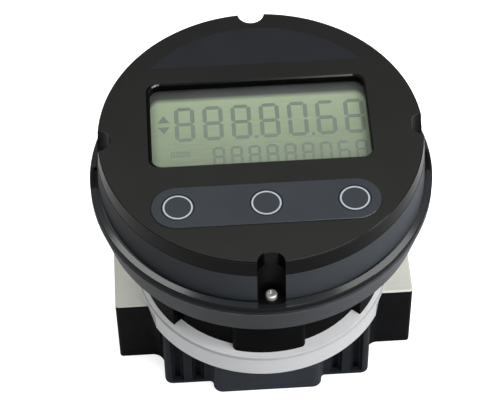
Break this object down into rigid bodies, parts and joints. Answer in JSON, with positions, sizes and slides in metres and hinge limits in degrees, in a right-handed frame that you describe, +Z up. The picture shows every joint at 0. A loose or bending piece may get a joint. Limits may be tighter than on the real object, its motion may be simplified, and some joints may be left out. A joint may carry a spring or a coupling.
{
  "type": "gear flow meter",
  "caption": "Positive-displacement flow meter: black body with two threaded ports and meshing gears, bright cover disc, neck and round display head with keys.",
  "frame": {"origin": "centre of the underside of the meter body, on the axis of the dial", "axes": "+Z up along the dial's axis, +X along the flow from inlet to outlet, -Y towards the reader"},
  "size_m": [0.12, 0.12, 0.112],
  "materials": {
    "body_black": "satin black enamel on a casting",
    "disc_silver": "bright turned face",
    "neck_black": "moulded black",
    "head_grey": "satin charcoal paint",
    "plate_black": "fine-textured black",
    "label_blue": "bare printed film",
    "keypad_grey": "slate overlay",
    "key_print": "slate with a pale printed ring",
    "clear": "clear pane",
    "display": "pale green display glass",
    "black_plastic": "moulded",
    "green_board": "solder-masked laminate",
    "chip_black": "moulded package",
    "seal_rubber": "smooth seal",
    "contact_rubber": "layered contact strip",
    "screw_steel": "zinc plated",
    "bolt_black": "blackened steel",
    "gear_steel": "hobbed and ground",
    "shaft_steel": "ground",
    "bush_bronze": "bearing bronze",
    "washer_carbon": "carbon-filled bearing plastic",
    "magnet_grey": "plated magnet",
    "probe_steel": "drawn tube",
    "cell_wrap": "shrink wrap",
    "pin_brass": "plated pins"
  },
  "bodies": {
    "casing": {"meter_body": "body_black", "chamber_cover": "disc_silver", "chamber_seal": "seal_rubber", "body_bolts": "bolt_black", "front_shaft": "shaft_steel", "rear_shaft": "shaft_steel", "thrust_washers": "washer_carbon", "pickup_tube": "probe_steel", "pickup_collar": "screw_steel", "pickup_pins": "pin_brass", "neck": "neck_black", "neck_seal": "seal_rubber", "neck_screws": "bolt_black", "head_screws": "bolt_black", "head_base": "head_grey", "head_seal": "seal_rubber", "cover_ring": "head_grey", "cover_screws": "screw_steel", "front_plate": "plate_black", "face_label": "label_blue", "window_lens": "clear", "lens_gasket": "seal_rubber", "keypad": "keypad_grey", "key_switches": "black_plastic", "lcd_panel": "display", "lcd_tray": "black_plastic", "lcd_contacts": "contact_rubber", "display_board": "green_board", "display_screws": "screw_steel", "main_board": "green_board", "board_screws": "screw_steel", "board_link": "black_plastic", "board_chips": "chip_black", "battery": "cell_wrap", "battery_cradle": "black_plastic"},
    "front_rotor": {"front_gear": "gear_steel", "front_bush": "bush_bronze", "gear_magnets": "magnet_grey"},
    "rear_rotor": {"rear_gear": "gear_steel", "rear_bush": "bush_bronze"},
    "left_key": {"key_left": "key_print"},
    "middle_key": {"key_middle": "key_print"},
    "right_key": {"key_right": "key_print"}
  },
  "joints": [
    {"name": "front_gear_spin", "type": "hinge", "parent": "casing", "child": "front_rotor", "pos_m": [0, -0.013, 0.0216], "axis": [0, 0, 1], "continuous": true},
    {"name": "rear_gear_spin", "type": "hinge", "parent": "casing", "child": "rear_rotor", "pos_m": [0, 0.013, 0.0216], "axis": [0, 0, 1], "continuous": true},
    {"name": "left_key_press", "type": "slide", "parent": "casing", "child": "left_key", "axis": [0, 0, -1], "range_m": [0, 0.0005], "stiffness_N_per_m": 1200},
    {"name": "middle_key_press", "type": "slide", "parent": "casing", "child": "middle_key", "axis": [0, 0, -1], "range_m": [0, 0.0005], "stiffness_N_per_m": 1200},
    {"name": "right_key_press", "type": "slide", "parent": "casing", "child": "right_key", "axis": [0, 0, -1], "range_m": [0, 0.0005], "stiffness_N_per_m": 1200}
  ],
  "couplings": [
    {"joint": "rear_gear_spin", "follows": "front_gear_spin", "ratio": -1}
  ]
}
